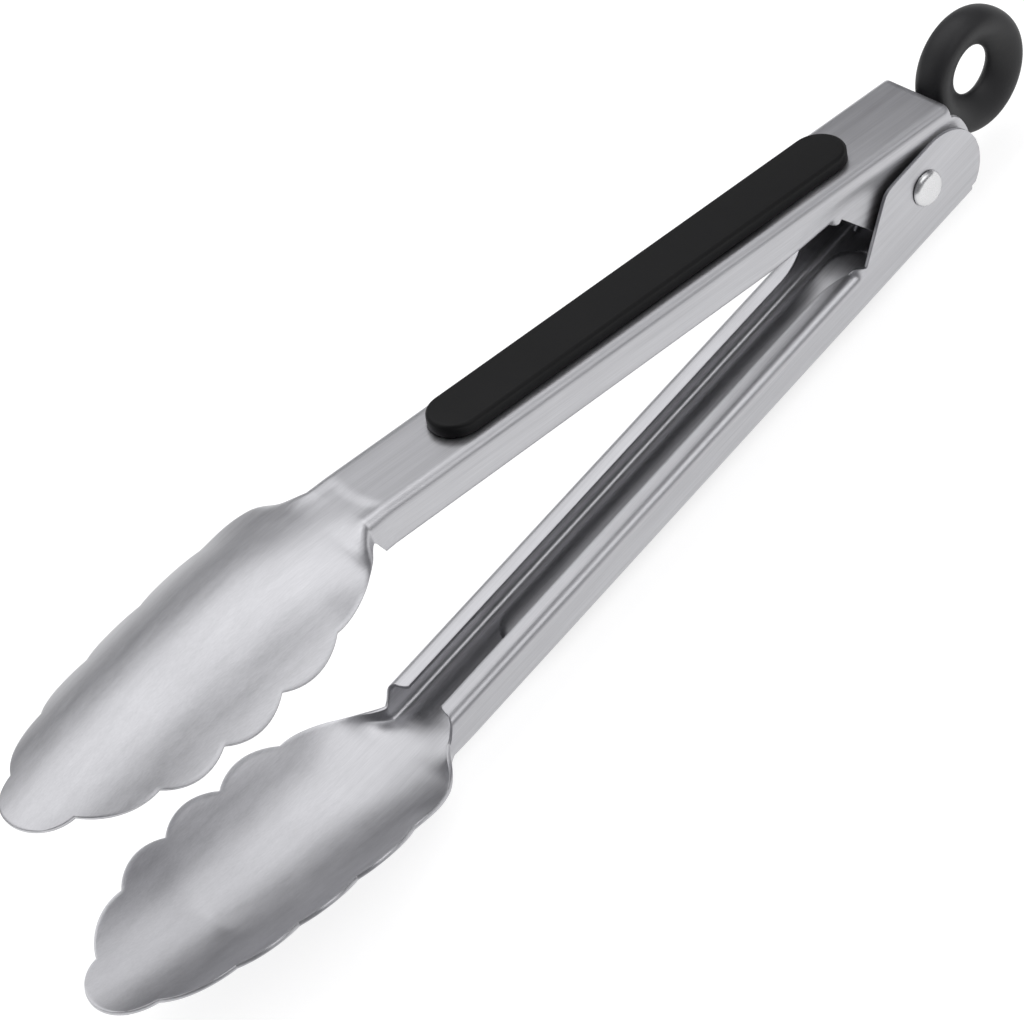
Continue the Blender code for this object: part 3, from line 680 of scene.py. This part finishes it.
def outline_solid(name, outline, half_thick, edge):
    """Flat plate in the XZ plane with broken edges."""
    bm = bmesh.new()
    face = bm.faces.new([bm.verts.new((x, -half_thick, z)) for x, z in outline])
    grown = bmesh.ops.extrude_face_region(bm, geom=[face])["geom"]
    bmesh.ops.translate(bm, vec=(0.0, 2.0 * half_thick, 0.0),
                        verts=[part for part in grown if isinstance(part, bmesh.types.BMVert)])
    bmesh.ops.recalc_face_normals(bm, faces=bm.faces)
    item = mesh_object(name, bm)
    if edge:
        add_modifier(item, "BEVEL", width=edge, segments=3, limit_method="ANGLE",
                     angle_limit=math.radians(30.0), use_clamp_overlap=False)
        item = applied(item, name)
    return item


def stadium(start, end, half_width, steps):
    points = []
    for side, centre in ((1.0, end - half_width), (-1.0, start + half_width)):
        for i in range(steps + 1):
            angle = side * math.pi / 2.0 - math.pi * i / steps
            points.append((centre + half_width * math.cos(angle), half_width * math.sin(angle)))
    return points


def lock_plate(name, turn, mat):
    """Flat plate that slides on the bush, with two catches near its inner end."""
    slot_half = BUSH_RADIUS + GAP
    back = -LOCK_TRAVEL - slot_half - LOCK_END_WALL
    front = RING_REACH - RING_RADIUS + LOCK_HOLD
    catch = back + LOCK_CATCH_LENGTH
    side = ((back, LOCK_CATCH - LOCK_CORNER), (back + LOCK_CORNER, LOCK_CATCH), (catch, LOCK_CATCH),
            (catch + LOCK_SHOULDER, LOCK_NECK), (front, LOCK_NECK))
    outline = list(side) + [(x, -z) for x, z in reversed(side)]
    plate = outline_solid(name, outline, LOCK_SHEET / 2.0, 0.12)
    slot = outline_solid("slot", stadium(-LOCK_TRAVEL - slot_half, slot_half, slot_half, 24), 4.0, 0.0)
    return seat(cut(plate, "DIFFERENCE", slot), turn, mat)


def pull_ring(name, tree, turn, mat):
    """Moulded ring, blended into the tongue that grips the end of the lock plate."""
    middle = (RING_RADIUS + RING_HOLE) / 2.0 - RING_SHY
    path = []
    for i in range(160):
        angle = 2.0 * math.pi * i / 160
        path.append((middle * math.cos(angle), middle * math.sin(angle), 0.0))
    item = swept(name, tree, path, True, (RING_RADIUS - RING_HOLE) / 2.0, RING_THICK / 2.0, RING_SWELL, 40, mat)
    item.data.transform(Matrix.Translation((RING_REACH, 0.0, 0.0)) @ Matrix.Rotation(math.pi / 2.0, 4, "X"))
    end = RING_REACH - RING_HOLE - TONGUE_END
    side = ((TONGUE_START, TONGUE_HALF - TONGUE_CORNER), (TONGUE_START + TONGUE_CORNER, TONGUE_HALF),
            (end, TONGUE_HALF))
    tongue = outline_solid("tongue", list(side) + [(x, -z) for x, z in reversed(side)], TONGUE_THICK / 2.0, 0.7)
    item = cut(item, "UNION", tongue)
    add_modifier(item, "REMESH", mode="VOXEL", voxel_size=0.28)
    add_modifier(item, "SMOOTH", factor=0.5, iterations=8)
    item = applied(item, name)
    high = LOCK_NECK + GAP
    front = RING_REACH - RING_RADIUS + LOCK_HOLD + GAP
    pocket = outline_solid("pocket", ((0.0, -high), (front, -high), (front, high), (0.0, high)),
                           LOCK_SHEET / 2.0 + GAP, 0.0)
    return seat(cut(item, "DIFFERENCE", pocket), turn, mat)


# ---- materials --------------------------------------------------------------------------------

def hex_colour(text):
    """An sRGB hex value as a linear colour."""
    values = [int(text[i:i + 2], 16) / 255.0 for i in (1, 3, 5)]
    return [v / 12.92 if v <= 0.04045 else ((v + 0.055) / 1.055) ** 2.4 for v in values] + [1.0]


def add(tree, kind, inputs=None, **settings):
    """Adds a node; an input is given a value, or is linked when it is given another node's output."""
    fresh = tree.nodes.new(kind)
    for key, value in settings.items():
        setattr(fresh, key, value)
    for key, value in (inputs or {}).items():
        if isinstance(value, bpy.types.NodeSocket):
            tree.links.new(value, fresh.inputs[key])
        else:
            fresh.inputs[key].default_value = value
    return fresh


def principled(name, colour, **inputs):
    """A new material with its Principled shader; returns the material, its tree and the shader."""
    mat = bpy.data.materials.new(name)
    mat.use_nodes = True
    shader = mat.node_tree.nodes["Principled BSDF"]
    shader.inputs["Base Color"].default_value = hex_colour(colour)
    for key, value in inputs.items():
        shader.inputs[key.replace("_", " ")].default_value = value
    mat.diffuse_color = hex_colour(colour)
    return mat, mat.node_tree, shader


def span(tree, value, low, high, frm=(0.3, 0.7)):
    """Maps a noise value to a range."""
    return add(tree, "ShaderNodeMapRange", {
        "Value": value, "From Min": frm[0], "From Max": frm[1], "To Min": low, "To Max": high}).outputs[0]


def brushed_stainless(name, turn):
    """18/8 stainless sheet, belt brushed along the arm: fine straight grain that spreads each
    highlight across the arm, over a faint cloudiness from the rolling mill."""
    mat, tree, shader = principled(name, "#bababd", Metallic=1.0, Anisotropic=0.4)
    place = add(tree, "ShaderNodeTexCoord").outputs["Object"]
    along = add(tree, "ShaderNodeMapping", {"Vector": place, "Rotation": (0.0, turn, 0.0)}).outputs[0]
    # Grain lines are 0.05 mm wide on the sheet; at 0.22 mm they are still wide enough to show.
    grain = add(tree, "ShaderNodeMapping", {"Vector": along, "Scale": (1.0 / 0.016, 1.0 / 0.00022, 1.0 / 0.00022)})
    lines = add(tree, "ShaderNodeTexNoise", {"Vector": grain.outputs[0], "Scale": 1.0, "Detail": 2.0,
                                             "Roughness": 0.6}).outputs["Fac"]
    broad = add(tree, "ShaderNodeMapping", {"Vector": along, "Scale": (1.0 / 0.05, 1.0 / 0.0016, 1.0 / 0.0016)})
    bands = add(tree, "ShaderNodeTexNoise", {"Vector": broad.outputs[0], "Scale": 1.0, "Detail": 3.0,
                                             "Roughness": 0.55}).outputs["Fac"]
    cloud = add(tree, "ShaderNodeTexNoise", {"Vector": place, "Scale": 1.0 / 0.012, "Detail": 3.0,
                                             "Roughness": 0.6}).outputs["Fac"]
    both = add(tree, "ShaderNodeMath", {0: lines, 1: bands}, operation="ADD").outputs[0]
    rough = add(tree, "ShaderNodeMath", {0: span(tree, both, 0.34, 0.40, (0.7, 1.3)),
                                         1: span(tree, cloud, -0.02, 0.02)}, operation="ADD").outputs[0]
    tone = add(tree, "ShaderNodeMix", {"Factor": span(tree, both, 0.0, 1.0, (0.7, 1.3)),
                                       "A": hex_colour("#b2b2b5"), "B": hex_colour("#c2c2c5")},
               data_type="RGBA").outputs["Result"]
    bump = add(tree, "ShaderNodeBump", {"Height": lines, "Strength": 0.05, "Distance": 0.00002}).outputs[0]
    tangent = add(tree, "ShaderNodeTangent", direction_type="RADIAL", axis="X").outputs[0]
    for key, value in (("Base Color", tone), ("Roughness", rough), ("Normal", bump), ("Tangent", tangent)):
        tree.links.new(value, shader.inputs[key])
    return mat


def tumbled_stainless(name, colour, roughness):
    """Stainless turned on a lathe and tumbled bright: smooth, with soft small dents."""
    mat, tree, shader = principled(name, colour, Metallic=1.0)
    place = add(tree, "ShaderNodeTexCoord").outputs["Object"]
    dents = add(tree, "ShaderNodeTexNoise", {"Vector": place, "Scale": 1.0 / 0.0011, "Detail": 3.0}).outputs["Fac"]
    bump = add(tree, "ShaderNodeBump", {"Height": dents, "Strength": 0.25, "Distance": 0.00004}).outputs[0]
    tree.links.new(span(tree, dents, roughness - 0.05, roughness + 0.08), shader.inputs["Roughness"])
    tree.links.new(bump, shader.inputs["Normal"])
    return mat


def moulded_santoprene(name):
    """Thermoplastic rubber, moulded in a blasted tool: near black, with a soft even sheen."""
    mat, tree, shader = principled(name, "#080809", Metallic=0.0, IOR=1.5)
    shader.inputs["Specular IOR Level"].default_value = 0.2
    place = add(tree, "ShaderNodeTexCoord").outputs["Object"]
    grit = add(tree, "ShaderNodeTexNoise", {"Vector": place, "Scale": 1.0 / 0.0004, "Detail": 2.0}).outputs["Fac"]
    wear = add(tree, "ShaderNodeTexNoise", {"Vector": place, "Scale": 1.0 / 0.014, "Detail": 4.0}).outputs["Fac"]
    tone = add(tree, "ShaderNodeMix", {"Factor": wear, "A": hex_colour("#060607"), "B": hex_colour("#0b0b0c")},
               data_type="RGBA").outputs["Result"]
    bump = add(tree, "ShaderNodeBump", {"Height": grit, "Strength": 0.25, "Distance": 0.00003}).outputs[0]
    for key, value in (("Base Color", tone), ("Roughness", span(tree, wear, 0.42, 0.52)), ("Normal", bump)):
        tree.links.new(value, shader.inputs[key])
    return mat


def moulded_nylon(name):
    """Glass filled nylon, moulded with a fine spark-eroded grain: a dark grey black, duller than the pads."""
    mat, tree, shader = principled(name, "#161618", Metallic=0.0, IOR=1.53)
    shader.inputs["Specular IOR Level"].default_value = 0.4
    place = add(tree, "ShaderNodeTexCoord").outputs["Object"]
    grain = add(tree, "ShaderNodeTexNoise", {"Vector": place, "Scale": 1.0 / 0.00045,
                                             "Detail": 2.0}).outputs["Fac"]
    cloud = add(tree, "ShaderNodeTexNoise", {"Vector": place, "Scale": 1.0 / 0.008, "Detail": 3.0}).outputs["Fac"]
    tone = add(tree, "ShaderNodeMix", {"Factor": cloud, "A": hex_colour("#131315"), "B": hex_colour("#19191b")},
               data_type="RGBA").outputs["Result"]
    bump = add(tree, "ShaderNodeBump", {"Height": grain, "Strength": 0.35, "Distance": 0.00004}).outputs[0]
    for key, value in (("Base Color", tone), ("Roughness", span(tree, cloud, 0.46, 0.58)), ("Normal", bump)):
        tree.links.new(value, shader.inputs[key])
    return mat


def opal_table(name):
    """Opal acrylic light table: white, and lit from below so that shadows stay faint."""
    mat, tree, shader = principled(name, "#a2a2a2", Roughness=0.9)
    shader.inputs["Specular IOR Level"].default_value = 0.1
    shader.inputs["Emission Color"].default_value = hex_colour("#fefefe")
    shader.inputs["Emission Strength"].default_value = 0.78
    return mat


# ---- the studio -------------------------------------------------------------------------------

def heading(azimuth, elevation):
    """Unit vector towards a place; azimuth turns from +X to +Y."""
    a, e = math.radians(azimuth), math.radians(elevation)
    return Vector((math.cos(a) * math.cos(e), math.sin(a) * math.cos(e), math.sin(e)))


def soft_light(name, azimuth, elevation, distance, width, height, radiance, seen_in_metal=True):
    """Flat panel of a given brightness, turned to the object."""
    data = bpy.data.lights.new(name, "AREA")
    data.shape = "RECTANGLE"
    data.size = width
    data.size_y = height
    data.energy = radiance * math.pi * width * height
    lamp = bpy.data.objects.new(name, data)
    bpy.context.scene.collection.objects.link(lamp)
    towards = heading(azimuth, elevation)
    lamp.location = AIM + towards * distance
    lamp.rotation_euler = towards.to_track_quat("Z", "Y").to_euler()
    lamp.visible_glossy = seen_in_metal
    return lamp


def studio():
    scene = bpy.context.scene
    scene.view_settings.view_transform = "Standard"
    world = bpy.data.worlds.new("studio")
    scene.world = world
    world.use_nodes = True
    world.node_tree.nodes["Background"].inputs["Color"].default_value = hex_colour("#fafaff")
    world.node_tree.nodes["Background"].inputs["Strength"].default_value = 0.24

    soft_light("back_panel", 63.0, 58.0, 1.3, 1.32, 1.25, 1.4)
    soft_light("side_panel", 2.0, 50.0, 1.3, 0.8, 0.7, 0.72)
    soft_light("left_panel", 140.0, 34.0, 1.3, 0.8, 0.6, 1.0)
    soft_light("front_strip", -46.0, 30.0, 1.3, 0.7, 0.45, 0.8)
    soft_light("front_fill", -65.0, 50.0, 1.3, 0.9, 0.7, 1.5)
    soft_light("overhead", 90.0, 89.0, 1.6, 2.4, 2.4, 0.8, seen_in_metal=False)

    bm = bmesh.new()
    bmesh.ops.create_grid(bm, x_segments=8, y_segments=8, size=3.0)
    floor = mesh_object("floor", bm)
    floor.data.transform(Matrix.Translation((0.0, 0.0, -0.0002)))
    floor.data.materials.append(opal_table("opal_light_table"))


def camera():
    back = heading(270.0 - VIEW_AZIMUTH, VIEW_ELEVATION)
    data = bpy.data.cameras.new("camera")
    data.lens = LENS
    data.sensor_width = 36.0
    data.shift_x, data.shift_y = VIEW_SHIFT
    item = bpy.data.objects.new("camera", data)
    bpy.context.scene.collection.objects.link(item)
    item.location = AIM + back * VIEW_DISTANCE
    item.rotation_mode = "QUATERNION"
    roll = Quaternion((0.0, 0.0, 1.0), math.radians(VIEW_ROLL))
    item.rotation_quaternion = (-back).to_track_quat("-Z", "Y") @ roll
    bpy.context.scene.camera = item


# ---- the whole object -------------------------------------------------------------------------

def main():
    camera()
    studio()

    open_turn = math.radians(OPEN_ANGLE)
    level = Quaternion()
    flipped = Quaternion((0.0, 1.0, 0.0), open_turn) @ Quaternion((1.0, 0.0, 0.0), math.pi)
    tilted = Quaternion((0.0, 1.0, 0.0), -math.radians(RING_TILT))

    lower_steel = brushed_stainless("brushed_stainless_lower", 0.0)
    upper_steel = brushed_stainless("brushed_stainless_upper", -open_turn)
    plate_steel = brushed_stainless("brushed_stainless_plate", math.radians(RING_TILT))
    bright_steel = tumbled_stainless("tumbled_stainless", "#d6d6d7", 0.28)
    wire_steel = tumbled_stainless("drawn_stainless_wire", "#b4b4b8", 0.28)
    rubber = moulded_santoprene("moulded_santoprene")
    nylon = moulded_nylon("moulded_nylon")

    lower = Arm(LOWER_WIDTH, LOWER_PIVOT, LOWER_DEPTH, LOWER_WEB_END, 0.0)
    upper = Arm(UPPER_WIDTH, UPPER_PIVOT, UPPER_DEPTH, UPPER_WEB_END, UPPER_INSET)
    sweep = sweep_tree()
    washer_in = UPPER_EAR_OUT + GAP
    pieces = (
        (arm_sheet("lower_arm_sheet", lower, level, lower_steel), "lower_arm", "lower_arm", "arm_steel"),
        (arm_sheet("upper_arm_sheet", upper, flipped, upper_steel), "upper_arm", "upper_arm", "arm_steel"),
        (grip_pad("lower_pad", lower, level, rubber), "lower_grip_pad", "lower_arm", "grip_rubber"),
        (grip_pad("upper_pad", upper, flipped, rubber), "upper_grip_pad", "upper_arm", "grip_rubber"),
        (rivet("rivet", level, bright_steel), "pivot_rivet", "pivot", "rivet_steel"),
        (rounded_tube("bush", BORE_RADIUS, BUSH_RADIUS, -BUSH_HALF, BUSH_HALF, level, bright_steel),
         "spacer_bush", "pivot", "rivet_steel"),
        (rounded_tube("washer_left", BORE_RADIUS, WASHER_RADIUS, -washer_in - WASHER, -washer_in, level,
                      bright_steel), "pivot_washer_left", "pivot", "rivet_steel"),
        (rounded_tube("washer_right", BORE_RADIUS, WASHER_RADIUS, washer_in, washer_in + WASHER, level,
                      bright_steel), "pivot_washer_right", "pivot", "rivet_steel"),
        (lock_plate("lock", tilted, plate_steel), "lock_plate", "lock", "arm_steel"),
        (pull_ring("ring", sweep, tilted, nylon), "pull_ring", "lock", "ring_plastic"),
    )
    for piece, node_name, body, slot_name in pieces:
        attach(piece, body)
        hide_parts(node_name)

    spring = torsion_spring("spring", sweep, wire_steel)
    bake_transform(spring)
    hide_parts("torsion_spring")


main()
